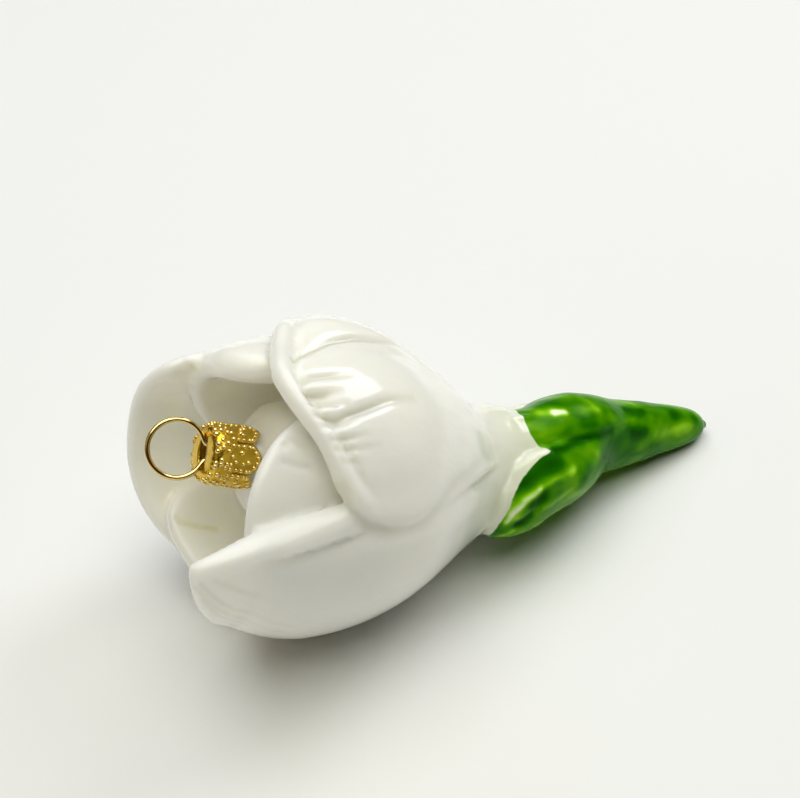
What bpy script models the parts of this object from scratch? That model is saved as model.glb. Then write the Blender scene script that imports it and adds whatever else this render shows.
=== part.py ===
"""Glass crocus flower ornament lying on its side: a blown and painted glass flower,
a stamped crown cap pressed on its neck, and a spring wire hanger through the cap.

The flower is drawn along its own axis, local +Z from the stem tip to the mouth, and an
empty lays it down. Angles round that axis are in degrees: 0 is the side that ends up on
top, 90 the near side, 180 the underside and 270 the far side.
"""
import math

import bmesh
import bpy
from mathutils import Matrix, Vector

MM = 0.001

# How the ornament lies
LEAN = 15.0            # degrees that the flower's axis rises above the surface
BELLY_HEIGHT = 94.0    # from the stem tip, millimetres along the axis
AXIS_HEIGHT = 26.4    # height of the axis above the surface at the belly
ORIGIN_SHIFT = (29.77, 0.11)    # from below the belly's centre to the middle of the whole ornament

# The glass body: (height from the stem tip, radius)
BODY = [
    (0.0, 0.0), (0.9, 1.8), (3.4, 3.4), (9.0, 4.7), (18.0, 6.0), (27.0, 7.8), (36.0, 9.2), (45.0, 10.5),
    (52.0, 11.8), (58.0, 13.2), (65.0, 15.2), (74.0, 19.5), (83.0, 23.7), (92.0, 26.0), (101.0, 26.5),
    (110.0, 25.2), (117.0, 23.0),
]
CORE_HEIGHTS = [0.9, 2.0, 3.4, 6.0, 9.0, 13.0, 18.0, 24.0, 30.0, 36.0, 41.0, 46.0, 51.0, 56.0, 61.0, 66.0,
                71.0, 76.0, 81.0, 86.0, 91.0]
STEM_BEND = 4.0        # sideways bend of the stem at its tip
BEND_FROM = 65.0       # height where the bend begins
STEM_LIFT = 0.35       # the stem's middle part arches up by this much
LIFT_HEIGHT = 20.0
LIFT_SPAN = 18.0
WAIST = 61.0           # height of the narrow white waist above the sepals
WAIST_SPAN = 9.0
WAIST_SAG = 1.4
GREEN_BELOW = 41.0     # the core is painted green up to this height
# A hollow beside the sepals: height, angle, depth, span along the flower, span in degrees
DENT = (49.0, 318.0, 2.8, 6.5, 45.0)
UNDER_PETALS = 1.2     # the body lies this far below the petals' faces
GLASS = 1.1            # thickness of the blown wall
STEM_GLASS = 1.2       # the wall is this much thicker in the stem
STEM_GLASS_BELOW = 40.0
FLOOR = 93.0           # height of the mouth's floor
FLOOR_RIM = (1.0, 20.5)    # the floor's turned up rim: height over the floor, radius
FLOOR_RADIUS = 17.0
FLOOR_GLASS = 1.5
FLOOR_ROUND = 4.0      # the hollow below turns in to the floor over this height
HOLLOW_FROM = 14.0     # the stem is solid glass below this height
HOLLOW_RADIUS = 22.0   # of the hollow under the floor

# The neck leans, as the glass was pinched off beside the flower's axis
NECK_ROOT = 85.0       # height where its axis crosses the flower's
NECK_LEAN = 12.2
NECK_TOWARD = 343.0
NECK_RADIUS = 4.3
NECK_BORE = 3.4
NECK_END = 30.2        # from the neck's root, along its axis
NECK_ROUND = 0.4       # rounding of the neck's rim
MOUND = [(6.0, 0.0), (6.0, 11.4), (13.0, 11.4), (17.4, 10.8), (19.8, 9.7), (20.9, 8.2), (21.5, 6.6),
         (21.9, 5.2)]
MOUND_TOP = 22.6
MOUND_HOLLOW = [(3.0, 0.0), (3.0, 10.2), (12.8, 10.2), (16.6, 9.6), (18.6, 8.6), (19.6, 7.2), (20.1, 5.8),
                (20.4, 4.4)]
BORE_FROM = 21.0

# The cap
CAP_RADIUS = 5.2
CAP_SHEET = 0.35
CAP_TOP = 30.9         # from the neck's root to the outer face of the flat disc
CAP_HEIGHT = 8.6
TABS = 6
TAB_SLIT = 0.7
SLIT_HEIGHT = 4.4
SLOT_LENGTH = 6.4
SLOT_WIDTH = 3.0
SLOT_TURN = -58.0      # degrees round the neck's axis
TAB_START = 12.0
NOTCH_WIDTH = 3.4      # between the pointed ends of two tabs
NOTCH_HEIGHT = 2.2
# The cap's outer face: (depth below the disc, added to its radius)
CAP_SIDE = [(CAP_HEIGHT, 0.3), (6.4, 0.1), (2.4, 0.0), (0.9, -0.2), (0.25, -0.8), (0.0, -1.7)]

# The hanger
WIRE = 0.92
LOOP_RADIUS = 4.9      # to the middle of the wire
LOOP_LEAN = 18.0       # degrees that the loop tips from the cap's axis
LEG_LENGTH = 14.0
LEG_SPREAD = 2.5
LOOP_OPENING = 70.0    # degrees of the ring left open where its ends turn down
LOOP_SINK = 0.3        # the ring's lowest point would lie this far inside the cap
RING_POINTS = 30
CLOSE_POINTS = 1.2     # points nearer to each other than this get none between them
# One leg from its end inside the neck up to the ring: shares of LEG_SPREAD and of LEG_LENGTH
LEG = [(1.0, -1.0), (0.98, -0.75), (0.87, -0.5), (0.7, -0.25), (0.54, -0.1), (0.6, -0.02)]

# How the petals are formed, in millimetres unless said
FOOT_CURVE = 1.7       # power of a petal's narrowing toward its base
TIP_TURN = 12.0        # a petal curves inward over this length before its tip
ROOT_DEPTH = 2.0       # a petal's base lies this far inside the body
TUCK_SPAN = (0.15, 0.7)    # share of the half width where a tucked side starts, and its length
SWELL_SIDE = (0.2, 0.25)   # the same for the swollen side
SWELL_EDGE = (0.98, 0.2)   # share where the swelling has ended, and its length
SWELL_HEIGHT = (66.0, 22.0)    # height where the swelling starts, and its length
LIP_SPAN = (5.0, 7.0)  # the lip starts this far above the widest place, and grows over this length
LIP_FADE = 0.5         # share of the half width over which a lip that doesn't go all round ends
LIP_ROUND = 0.6        # half the width of the lip's bulge, as a share of the lip's width
SEAM_AT = 1.15         # the furrow below a lip lies at this share of the lip's width
SEAM_WIDTH = 0.7
CURL_WIDTH = 14.0      # a curled end turns inward over this width
CURL_SIDE = 0.6        # and grows over this share of the half width
CURL_LENGTH = 10.0     # and over this length
FLARE_SPAN = 8.0
DIP_PLACE, DIP_SPAN = 0.48, 0.25    # share of the half width where a rim dips, and how widely
EDGE_LEAST = 0.15      # share of a petal's thickness left at its rim
SEPAL_ROOT = 3.5       # a sepal is solid down to this depth below the BODY
THINNEST = 0.5         # and no part of it is thinner than this
ROW_POWER = 1.5        # a petal's rows crowd toward its tip
SIDE_LIMIT = 0.995     # a grid ends just short of the rim, where the petal has no length left

# A petal's middle and its reach to the low and the high side are in degrees. Its base, its
# widest place and its tip are heights. "square" shapes the two halves of its end, "foot" is
# its width at the base and "spring" the part of its length over which it rises from the body.
# "rise" is over the BODY, "tuck" sinks a side under its neighbour, "radius" is at the tip and
# "curl" turns an end inward. "lip" and "roll" are the width and height of a rolled lip, "seam"
# the depth of the furrow below it and "lip_end" where it stops. "flare" opens the rim outward,
# "swell" raises the low side, "dip" takes that much off the end beside its middle and "thick"
# is the glass's thickness.
PLAIN = dict(foot=0.5, spring=0.2, tuck=(0.0, 0.0), curl=(0.0, 0.0), lip=0.0, roll=0.0, seam=0.0,
             flare=0.0, flare_width=5.0, swell=0.0, lip_end=2.0, dip=0.0)
PETALS = {
    "front": dict(PLAIN, mid=84.5, low=25.5, high=103.5, base=57, wide=90, tip=126.2, square=(1.37, 1.42),
                  foot=0.3, spring=0.35, radius=23.8, rise=1.1, tuck=(1.0, 0.0), curl=(1.5, 2.5), thick=3.2,
                  lip=5.0, roll=1.1, seam=0.9, lip_end=0.4),
    "far": dict(PLAIN, mid=262, low=80, high=56, base=57, wide=88, tip=119.8, square=(2.2, 7.0),
                foot=0.3, spring=0.5, radius=24.4, rise=0.4, tuck=(1.5, 2.6), thick=2.6, flare=0.5),
    "top": dict(PLAIN, mid=12, low=66, high=64, base=58.5, wide=89, tip=109.4, square=(1.3, 1.95),
                spring=0.3, radius=27.3, rise=0.6, curl=(2.0, 0.0), thick=3.4, lip=3.4, roll=0.6, seam=0.9,
                swell=2.2, dip=2.3),
    "inner near": dict(PLAIN, mid=74, low=54, high=36, base=84, wide=97, tip=116.1, square=(2.1, 2.4),
                       foot=0.95, radius=20.9, rise=-4.4, thick=2.4),
    "inner far": dict(PLAIN, mid=318, low=62, high=44, base=84, wide=94, tip=112.6, square=(2.3, 3.2),
                      foot=0.95, radius=22.8, rise=-1.3, tuck=(3.2, 0.5), thick=5.0),
    "inner under": dict(PLAIN, mid=214, low=60, high=25, base=84, wide=98, tip=114.4, square=(1.7, 2.4),
                        foot=0.95, radius=21.2, rise=-2.6, thick=4.0, flare=0.5),
}
SEPALS = {
    "top sepal": dict(PLAIN, mid=14, low=60, high=42, base=20, wide=45, tip=56.5, square=(1.8, 3.2),
                      foot=0.5, spring=0.27, radius=11.2, rise=0.8, tuck=(0.6, 0.0), thick=3.0),
    "near sepal": dict(PLAIN, mid=92, low=44, high=85, base=25, wide=48, tip=64.0, square=(2.6, 1.6),
                       foot=0.6, spring=0.5, radius=13.6, rise=5.1, tuck=(3.0, 3.5), thick=3.0),
    "far sepal": dict(PLAIN, mid=236, low=60, high=60, base=28, wide=44, tip=62.5, square=(1.9, 2.0),
                      foot=0.35, spring=0.4, radius=13.0, rise=2.6, tuck=(1.0, 1.5), thick=3.0),
}


def smooth(x):
    """0 below 0, 1 above 1 and an even ramp between."""
    x = min(max(x, 0.0), 1.0)
    return x * x * (3 - 2 * x)


def body_radius(height):
    """Radius of the petals' outer faces, a smooth curve through the BODY points."""
    if height <= BODY[0][0]:
        return BODY[0][1]
    if height >= BODY[-1][0]:
        return BODY[-1][1]
    k = max(i for i, (h, _) in enumerate(BODY[:-1]) if h <= height)
    slopes = []
    for i in (k, k + 1):
        before, after = BODY[max(i - 1, 0)], BODY[min(i + 1, len(BODY) - 1)]
        slopes.append((after[1] - before[1]) / (after[0] - before[0]))
    (h0, r0), (h1, r1) = BODY[k], BODY[k + 1]
    step = h1 - h0
    t = (height - h0) / step
    return ((2 * t**3 - 3 * t**2 + 1) * r0 + (t**3 - 2 * t**2 + t) * step * slopes[0]
            + (3 * t**2 - 2 * t**3) * r1 + (t**3 - t**2) * step * slopes[1])


def axis_shift(height):
    """How far the axis strays from straight: the stem bends to the far side and arches, the waist sags."""
    bend = STEM_BEND * math.sin(min(max((BEND_FROM - height) / BEND_FROM, 0.0), 1.0) * math.pi / 2)
    lift = STEM_LIFT * math.exp(-((height - LIFT_HEIGHT) / LIFT_SPAN) ** 2)
    sag = WAIST_SAG * math.exp(-((height - WAIST) / WAIST_SPAN) ** 2)
    return Vector((lift - sag, bend - 0.5 * sag, 0))


def dent(angle, height):
    """Depth of the hollow beside the sepals."""
    place, turn, depth, span, spread = DENT
    aside = (angle - turn + 180) % 360 - 180
    return depth * math.exp(-(((height - place) / span) ** 2) - (aside / spread) ** 2)


def flower_point(angle, height, radius):
    """A point of the flower, in metres along its own axes."""
    a = math.radians(angle)
    radius -= dent(angle, height)
    return (axis_shift(height) + Vector((radius * math.cos(a), -radius * math.sin(a), height))) * MM


def petal_place(petal, s, t):
    """Angle, height and distance to the rim of the petal's point (s, t)."""
    square = petal["square"][0 if s < 0 else 1]
    along = petal["tip"] - petal["wide"] - petal["dip"] * math.exp(-((s - DIP_PLACE) / DIP_SPAN) ** 2)
    end = petal["wide"] + along * (1 - abs(s) ** square) ** (1 / square)
    height = petal["base"] + t * (end - petal["base"])
    below = max(petal["wide"] - height, 0.0) / (petal["wide"] - petal["base"])
    narrowing = 1 - (1 - petal["foot"]) * below**FOOT_CURVE
    reach = petal["low"] if s < 0 else petal["high"]
    angle = petal["mid"] + s * reach * narrowing
    across = math.radians(reach) * body_radius(height)
    up = max(height - petal["wide"], 0.0) / along
    level = (abs(s) ** square + up**square) ** (1 / square)
    if level < 0.05:
        return angle, height, min(across, along)
    slope = math.hypot((abs(s) / level) ** (square - 1) / across, (up / level) ** (square - 1) / along)
    rim = max(1 - level, 0.0) / slope
    return angle, height, rim


def edge_share(petal, rim):
    """Share of the petal's thickness near its half-round rim."""
    inside = min(max(rim / (petal["thick"] / 2), 0.0), 1.0)
    return max(math.sqrt(1 - (1 - inside) ** 2), EDGE_LEAST)


def petal_radius(petal, s, t, height, rim):
    """Outer radius of the petal's face."""
    side = 0 if s < 0 else 1
    turn = petal["tip"] - TIP_TURN
    over = max(height - turn, 0.0) / TIP_TURN
    rise = petal["rise"]
    rise -= petal["tuck"][side] * smooth((abs(s) - TUCK_SPAN[0]) / TUCK_SPAN[1])
    swollen = smooth((-s - SWELL_SIDE[0]) / SWELL_SIDE[1]) * smooth((SWELL_EDGE[0] - abs(s)) / SWELL_EDGE[1])
    rise += petal["swell"] * swollen * smooth((height - SWELL_HEIGHT[0]) / SWELL_HEIGHT[1])
    plain = body_radius(min(height, turn)) + rise
    radius = plain + (petal["radius"] + rise - petal["rise"] - plain) * over**2
    radius -= (1 - smooth(t / petal["spring"])) * (rise + ROOT_DEPTH)
    if petal["lip"]:
        upper = smooth((height - petal["wide"] - LIP_SPAN[0]) / LIP_SPAN[1])
        upper *= smooth((petal["lip_end"] - s) / LIP_FADE)
        bulge = max(1 - ((rim / petal["lip"] - 0.5) / LIP_ROUND) ** 2, 0.0)
        furrow = math.exp(-(((rim - SEAM_AT * petal["lip"]) / SEAM_WIDTH) ** 2))
        radius += (petal["roll"] * bulge - petal["seam"] * furrow) * upper
    curl = petal["curl"][side] * smooth(abs(s) / CURL_SIDE) * smooth((height - petal["wide"]) / CURL_LENGTH)
    radius -= curl * (1 - min(rim / CURL_WIDTH, 1.0)) ** 2
    opened = 1 - smooth(rim / petal["flare_width"])
    radius += petal["flare"] * opened * smooth((height - petal["wide"]) / FLARE_SPAN)
    return radius - petal["thick"] / 2 * (1 - edge_share(petal, rim))


def collection(name):
    new = bpy.data.collections.new(name)
    bpy.context.scene.collection.children.link(new)
    return new


def material(name, colour, roughness, metallic=0.0):
    new = bpy.data.materials.new(name)
    new.use_nodes = True
    shader = new.node_tree.nodes["Principled BSDF"]
    shader.inputs["Base Color"].default_value = (*colour, 1.0)
    shader.inputs["Roughness"].default_value = roughness
    shader.inputs["Metallic"].default_value = metallic
    new.diffuse_color = (*colour, 1.0)
    return new


def evaluated(thing):
    """The object's mesh with its modifiers, in place of the object's own."""
    graph = bpy.context.evaluated_depsgraph_get()
    mesh = bpy.data.meshes.new_from_object(thing.evaluated_get(graph))
    if thing.type == "MESH":
        thing.modifiers.clear()
        thing.data = mesh
        return thing
    new = bpy.data.objects.new(thing.name, mesh)
    new.matrix_world = thing.matrix_world.copy()
    new.parent = thing.parent
    thing.users_collection[0].objects.link(new)
    bpy.data.objects.remove(thing)
    weld(new)
    return new


def weld(thing):
    shape = bmesh.new()
    shape.from_mesh(thing.data)
    bmesh.ops.remove_doubles(shape, verts=shape.verts, dist=1e-6)
    bmesh.ops.recalc_face_normals(shape, faces=shape.faces)
    shape.to_mesh(thing.data)
    shape.free()


def turned(name, outline, steps, where):
    """A closed body turned about +Z from (height, radius) points, lowest first, both ends on the axis."""
    mesh = bpy.data.meshes.new(name)
    points = [(radius * MM, 0, height * MM) for height, radius in outline[::-1]]
    mesh.from_pydata(points, [(i, i + 1) for i in range(len(points) - 1)], [])
    new = bpy.data.objects.new(name, mesh)
    where.objects.link(new)
    turn = new.modifiers.new("Turn", "SCREW")
    turn.steps = turn.render_steps = steps
    turn.use_merge_vertices = True
    turn.merge_threshold = 0.01 * MM
    evaluated(new)
    weld(new)
    return new


def petal_blade(name, petal, across, along, where, solid=False):
    """A petal: an outer and an inner grid laid on the flower by formula and joined round the edge."""
    outside, inside = [], []
    for row in range(along + 1):
        t = 1 - (1 - row / along) ** ROW_POWER
        for column in range(across + 1):
            s = math.sin((2 * column / across - 1) * math.pi / 2) * SIDE_LIMIT
            angle, height, rim = petal_place(petal, s, t)
            outer = petal_radius(petal, s, t, height, rim)
            inner = outer - petal["thick"] * edge_share(petal, rim)
            if solid:
                inner = min(outer - THINNEST, body_radius(height) - SEPAL_ROOT)
            outside.append(flower_point(angle, height, outer))
            inside.append(flower_point(angle, height, inner))
    wide, count = across + 1, len(outside)
    faces = []
    for row in range(along):
        for k in range(row * wide, row * wide + across):
            sheet = (k, k + 1, k + wide + 1, k + wide)
            faces += [sheet[::-1], tuple(i + count for i in sheet)]
    edge = list(range(wide)) + [row * wide + across for row in range(1, along + 1)]
    edge += list(range(count - 2, count - wide - 1, -1)) + [row * wide for row in range(along - 1, 0, -1)]
    faces += [(a, b, b + count, a + count) for a, b in zip(edge, edge[1:] + edge[:1])]
    mesh = bpy.data.meshes.new(name)
    mesh.from_pydata(outside + inside, [], faces)
    new = bpy.data.objects.new(name, mesh)
    where.objects.link(new)
    weld(new)
    return new


def follow_stem(thing):
    """Fits an upright turned body to the flower: its hollow beside the sepals and its bent axis."""
    for point in thing.data.vertices:
        x, y, height = point.co / MM
        radius = math.hypot(x, y)
        if radius > THINNEST:
            share = 1 - dent(math.degrees(math.atan2(-y, x)), height) / radius
            point.co = Vector((x * share, y * share, height)) * MM
        point.co += axis_shift(height) * MM


def smooth_route(points, steps=3):
    """A smooth curve through the points, as a list with that many steps between each two."""
    route = []
    for i in range(len(points) - 1):
        before, here, after = points[max(i - 1, 0)], points[i], points[i + 1]
        beyond = points[min(i + 2, len(points) - 1)]
        count = steps if (after - here).length > CLOSE_POINTS else 1
        for k in range(count):
            t = k / count
            bend = (2 * before - 5 * here + 4 * after - beyond) * t**2
            turn = (3 * here - before - 3 * after + beyond) * t**3
            route.append(0.5 * (2 * here + (after - before) * t + bend + turn))
    return route + [points[-1]]


def cut(thing, cutter, solver="EXACT"):
    cutter.hide_render = True
    cutter.display_type = "WIRE"
    boolean = thing.modifiers.new("Cut by " + cutter.name, "BOOLEAN")
    boolean.operation = "DIFFERENCE"
    boolean.solver = solver
    boolean.object = cutter


def join(thing, pieces, solver="EXACT"):
    """One union with every object of the collection, which is emptied afterwards."""
    boolean = thing.modifiers.new("Join", "BOOLEAN")
    boolean.operation = "UNION"
    boolean.solver = solver
    boolean.operand_type = "COLLECTION"
    boolean.collection = pieces
    evaluated(thing)
    for piece in list(pieces.objects):
        bpy.data.objects.remove(piece)


def fill_pockets(thing):
    """Keeps the largest shell, so that hollows which the union sealed between petals are filled."""
    shape = bmesh.new()
    shape.from_mesh(thing.data)
    unseen = set(shape.faces)
    shells = []
    while unseen:
        shell = [unseen.pop()]
        for face in shell:
            for edge in face.edges:
                for other in edge.link_faces:
                    if other in unseen:
                        unseen.remove(other)
                        shell.append(other)
        shells.append(shell)
    shells.sort(key=len)
    for shell in shells[:-1]:
        bmesh.ops.delete(shape, geom=shell, context="FACES")
    shape.to_mesh(thing.data)
    shape.free()


for old in list(bpy.data.objects):
    bpy.data.objects.remove(old)

ornament = collection("glass crocus flower")
cutters = collection("cutters")
joined = collection("joined")

white = material("pearl white lacquer", (0.78, 0.77, 0.70), 0.32)
green = material("green lacquer", (0.09, 0.30, 0.02), 0.18)
gold = material("gold plated brass", (0.83, 0.55, 0.20), 0.25, 1.0)
wire_gold = material("gold plated wire", (0.80, 0.60, 0.28), 0.22, 1.0)

# The pose: one empty lays the flower down, another sets the neck on it
lie = bpy.data.objects.new("lie", None)
ornament.objects.link(lie)
rise = math.radians(LEAN)
lie.rotation_euler = (0, -(math.pi / 2 - rise), 0)
axis = Vector((-math.cos(rise), 0, math.sin(rise)))
belly = Vector((-ORIGIN_SHIFT[0], ORIGIN_SHIFT[1], AXIS_HEIGHT)) * MM
lie.location = belly - axis * BELLY_HEIGHT * MM

neck_place = bpy.data.objects.new("neck", None)
ornament.objects.link(neck_place)
neck_place.parent = lie
neck_place.location = (0, 0, NECK_ROOT * MM)
toward = math.radians(NECK_TOWARD)
neck_axis = Vector((math.cos(toward), -math.sin(toward), 0)) * math.sin(math.radians(NECK_LEAN))
neck_axis.z = math.cos(math.radians(NECK_LEAN))
neck_place.rotation_mode = "QUATERNION"
neck_place.rotation_quaternion = Vector((0, 0, 1)).rotation_difference(neck_axis)
bpy.context.view_layer.update()


def paint(thing, is_green):
    """Gives the mesh both lacquers, green on the faces that the test picks by their centre."""
    thing.data.materials.append(white)
    thing.data.materials.append(green)
    for face in thing.data.polygons:
        face.material_index = 1 if is_green(face.center / MM) else 0


def glass_flower():
    """The blown flower: body, neck, petals and sepals in one piece, hollow to the neck's end."""
    outside = [(0, 0)]
    outside += [(h, body_radius(h) - UNDER_PETALS * smooth((h - 10) / 30)) for h in CORE_HEIGHTS]
    outside += [(FLOOR + FLOOR_RIM[0], FLOOR_RIM[1]), (FLOOR, FLOOR_RADIUS), (FLOOR, 0)]
    body = turned("glass_flower", outside, 36, ornament)
    follow_stem(body)
    paint(body, lambda middle: middle.z < GREEN_BELOW)

    neck = [(MOUND_TOP, NECK_RADIUS), (NECK_END - NECK_ROUND, NECK_RADIUS),
            (NECK_END, NECK_RADIUS - NECK_ROUND), (NECK_END, 0)]
    mound = turned("mound and neck", MOUND + neck, 32, joined)
    tilt = neck_place.rotation_quaternion.to_matrix().to_4x4()
    mound.data.transform(Matrix.Translation((0, 0, NECK_ROOT * MM)) @ tilt)
    paint(mound, lambda middle: False)

    for name, petal in PETALS.items():
        paint(petal_blade(name, petal, 14, 12, joined), lambda middle: False)
    for name, sepal in SEPALS.items():
        paint(petal_blade(name, sepal, 10, 10, joined, True), lambda middle: True)
    join(body, joined, "MANIFOLD")
    bpy.data.collections.remove(joined)
    fill_pockets(body)
    body.parent = lie

    hollow = [(HOLLOW_FROM, 0)]
    for height in CORE_HEIGHTS:
        if HOLLOW_FROM < height < FLOOR - FLOOR_ROUND:
            wall = UNDER_PETALS + GLASS + (STEM_GLASS if height < STEM_GLASS_BELOW else 0.0)
            hollow.append((height, body_radius(height) - wall))
    hollow += [(FLOOR - FLOOR_GLASS, HOLLOW_RADIUS), (FLOOR - FLOOR_GLASS, 0)]
    inside = turned("belly hollow", hollow, 24, cutters)
    follow_stem(inside)
    inside.parent = lie
    cut(body, inside, "MANIFOLD")

    past_end = NECK_END + 2
    bore = [(BORE_FROM, NECK_BORE), (past_end, NECK_BORE), (past_end, 0)]
    opening = turned("neck bore", MOUND_HOLLOW + bore, 24, cutters)
    opening.parent = neck_place
    cut(body, opening, "MANIFOLD")

    bpy.ops.mesh.primitive_cube_add(size=1)
    ground = bpy.context.object
    ground.name = "below the surface"
    for holder in list(ground.users_collection):
        holder.objects.unlink(ground)
    cutters.objects.link(ground)
    ground.scale = (0.3, 0.2, 0.02)
    ground.location = (0, 0, -0.01)
    cut(body, ground, "MANIFOLD")


def crown_cap():
    """The stamped cap: a flat disc with a slot for the wire, a rounded shoulder and a skirt of tabs."""
    outline = [(CAP_TOP - depth, CAP_RADIUS + more) for depth, more in CAP_SIDE] + [(CAP_TOP, 0)]
    cap = turned("crown_cap", outline, 48, ornament)
    cap.parent = neck_place
    sheet = cap.modifiers.new("Sheet", "SOLIDIFY")
    sheet.thickness = CAP_SHEET * MM
    sheet.offset = -1.0
    evaluated(cap)

    skirt = CAP_TOP - CAP_HEIGHT
    step = math.tau / TABS
    for k in range(TABS):
        turn = Matrix.Rotation(TAB_START * math.tau / 360 + step * k, 4, "Z")
        notch = bmesh.new()
        corners = [(-NOTCH_WIDTH / 2, -1), (NOTCH_WIDTH / 2, -1), (TAB_SLIT / 2, NOTCH_HEIGHT),
                   (TAB_SLIT / 2, SLIT_HEIGHT), (-TAB_SLIT / 2, SLIT_HEIGHT), (-TAB_SLIT / 2, NOTCH_HEIGHT)]
        ends = []
        for radius in (CAP_RADIUS / 2, CAP_RADIUS * 1.5):
            ends.append([notch.verts.new(turn @ (Vector((radius, y, skirt + z)) * MM)) for y, z in corners])
            notch.faces.new(ends[-1])
        for i in range(len(corners)):
            j = (i + 1) % len(corners)
            notch.faces.new((ends[0][i], ends[1][i], ends[1][j], ends[0][j]))
        bmesh.ops.recalc_face_normals(notch, faces=notch.faces)
        mesh = bpy.data.meshes.new(f"tab notch {k + 1}")
        notch.to_mesh(mesh)
        notch.free()
        cutter = bpy.data.objects.new(mesh.name, mesh)
        cutters.objects.link(cutter)
        cutter.parent = neck_place
        cut(cap, cutter)

    bpy.ops.mesh.primitive_cylinder_add(vertices=20, radius=0.5, depth=4 * MM)
    slot = bpy.context.object
    slot.name = "wire slot"
    for holder in list(slot.users_collection):
        holder.objects.unlink(slot)
    cutters.objects.link(slot)
    slot.scale = (SLOT_WIDTH * MM, SLOT_LENGTH * MM, 1)
    slot.rotation_euler = (0, 0, math.radians(SLOT_TURN))
    slot.location = (0, 0, CAP_TOP * MM)
    slot.parent = neck_place
    cut(cap, slot)
    cap.data.materials.append(gold)


def wire_hanger():
    """The spring wire: a ring above the cap whose two ends pass the slot and spread inside the neck."""
    lean = math.radians(LOOP_LEAN)
    level = CAP_TOP - CAP_SHEET / 2
    middle = LOOP_RADIUS - LOOP_SINK
    gap = math.radians(LOOP_OPENING)
    legs = []
    for side in (-1, 1):
        leg = [(side * across * LEG_SPREAD, 0, level + down * LEG_LENGTH) for across, down in LEG]
        legs.append([Vector(point) for point in leg])
    ring = []
    for k in range(RING_POINTS):
        angle = gap / 2 + k / (RING_POINTS - 1) * (math.tau - gap)
        up = middle - math.cos(angle) * LOOP_RADIUS
        across = -math.sin(angle) * LOOP_RADIUS
        ring.append(Vector((across, -up * math.sin(lean), level + up * math.cos(lean))))
    points = smooth_route(legs[0] + ring + legs[1][::-1])

    curve = bpy.data.curves.new("wire_hanger", "CURVE")
    curve.dimensions = "3D"
    curve.bevel_depth = WIRE / 2 * MM
    curve.bevel_resolution = 2
    curve.use_fill_caps = True
    spline = curve.splines.new("POLY")
    spline.points.add(len(points) - 1)
    turn = Matrix.Rotation(math.radians(SLOT_TURN - 90), 3, "Z")
    for k, point in enumerate(points):
        spline.points[k].co = (*(turn @ point * MM), 1)
    hanger = bpy.data.objects.new("wire_hanger", curve)
    ornament.objects.link(hanger)
    hanger.parent = neck_place
    hanger.data.materials.append(wire_gold)


glass_flower()
crown_cap()
wire_hanger()
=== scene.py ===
"""Looks of the glass crocus ornament: lacquered blown glass, a gold crown cap and its wire hanger.

The flower's shapes are worked out in millimetres along its own axis, from the stem tip to the
mouth. Angles round that axis are in degrees: 0 on top, 90 on the near side, 180 underneath.
"""
import math

import bmesh
import bpy
import numpy as np
from mathutils import Matrix, Vector


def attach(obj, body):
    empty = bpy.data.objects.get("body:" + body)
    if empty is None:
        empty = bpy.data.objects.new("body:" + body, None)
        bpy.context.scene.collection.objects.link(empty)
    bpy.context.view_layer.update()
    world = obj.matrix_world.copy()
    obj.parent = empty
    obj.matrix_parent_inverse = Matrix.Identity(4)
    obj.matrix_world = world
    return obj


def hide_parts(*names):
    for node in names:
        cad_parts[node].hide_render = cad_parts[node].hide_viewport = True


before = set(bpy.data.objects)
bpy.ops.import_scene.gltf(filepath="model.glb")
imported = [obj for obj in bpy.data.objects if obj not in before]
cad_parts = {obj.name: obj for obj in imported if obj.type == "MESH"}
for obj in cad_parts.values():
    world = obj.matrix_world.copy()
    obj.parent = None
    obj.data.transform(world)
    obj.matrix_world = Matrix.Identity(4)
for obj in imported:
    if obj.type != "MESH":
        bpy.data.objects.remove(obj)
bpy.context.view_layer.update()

MM = 0.001

# How the flower lies, as in the solids
LEAN = 15.0
BELLY_HEIGHT = 94.0
BELLY = (-29.77, 0.11, 26.4)

# The glass body: (height from the stem tip, radius)
BODY = [
    (0.0, 0.0), (0.9, 1.8), (3.4, 3.4), (9.0, 4.7), (18.0, 6.0), (27.0, 7.8), (36.0, 9.2), (45.0, 10.5),
    (52.0, 11.8), (58.0, 13.2), (65.0, 15.2), (74.0, 19.5), (83.0, 23.7), (92.0, 26.0), (101.0, 26.5),
    (110.0, 25.2), (117.0, 23.0),
]
# The axis bends to the far side below BEND_FROM, arches up in the stem and sags at the waist
STEM_BEND, BEND_FROM = 4.0, 65.0
STEM_LIFT, LIFT_HEIGHT, LIFT_SPAN = 0.35, 20.0, 18.0
WAIST, WAIST_SPAN, WAIST_SAG = 61.0, 9.0, 1.4
# The core that carries the petals lies this far under their faces, growing over a span from a height
UNDER_PETALS, UNDER_FROM, UNDER_SPAN = 1.2, 10.0, 30.0
CORE_FROM, CORE_SHORT, CORE_RINGS, CORE_SIDES = 0.6, 1.5, 150, 120
# The drop of glass left where the stem was drawn off
TIP_DROP = [(-0.9, 0.5), (-0.5, 0.95), (0.15, 1.1)]
# The mouth's floor: its height, the height and radius of its turned up rim, and its flat's radius
FLOOR, FLOOR_RIM, FLOOR_RADIUS = 93.0, (1.0, 20.5), 17.0
# The mound and the neck on it: where their axis starts, how it leans, and (height, radius) along it
NECK_ROOT, NECK_LEAN, NECK_TOWARD = 85.0, 12.2, 343.0
MOUND_SIDES = 96
MOUND = [(6.0, 0.0), (6.0, 11.4), (13.0, 11.4), (17.4, 10.8), (19.8, 9.7), (20.9, 8.2), (21.5, 6.6),
         (21.9, 5.2), (22.6, 4.3), (24.0, 4.3), (24.0, 0.0)]

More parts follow.
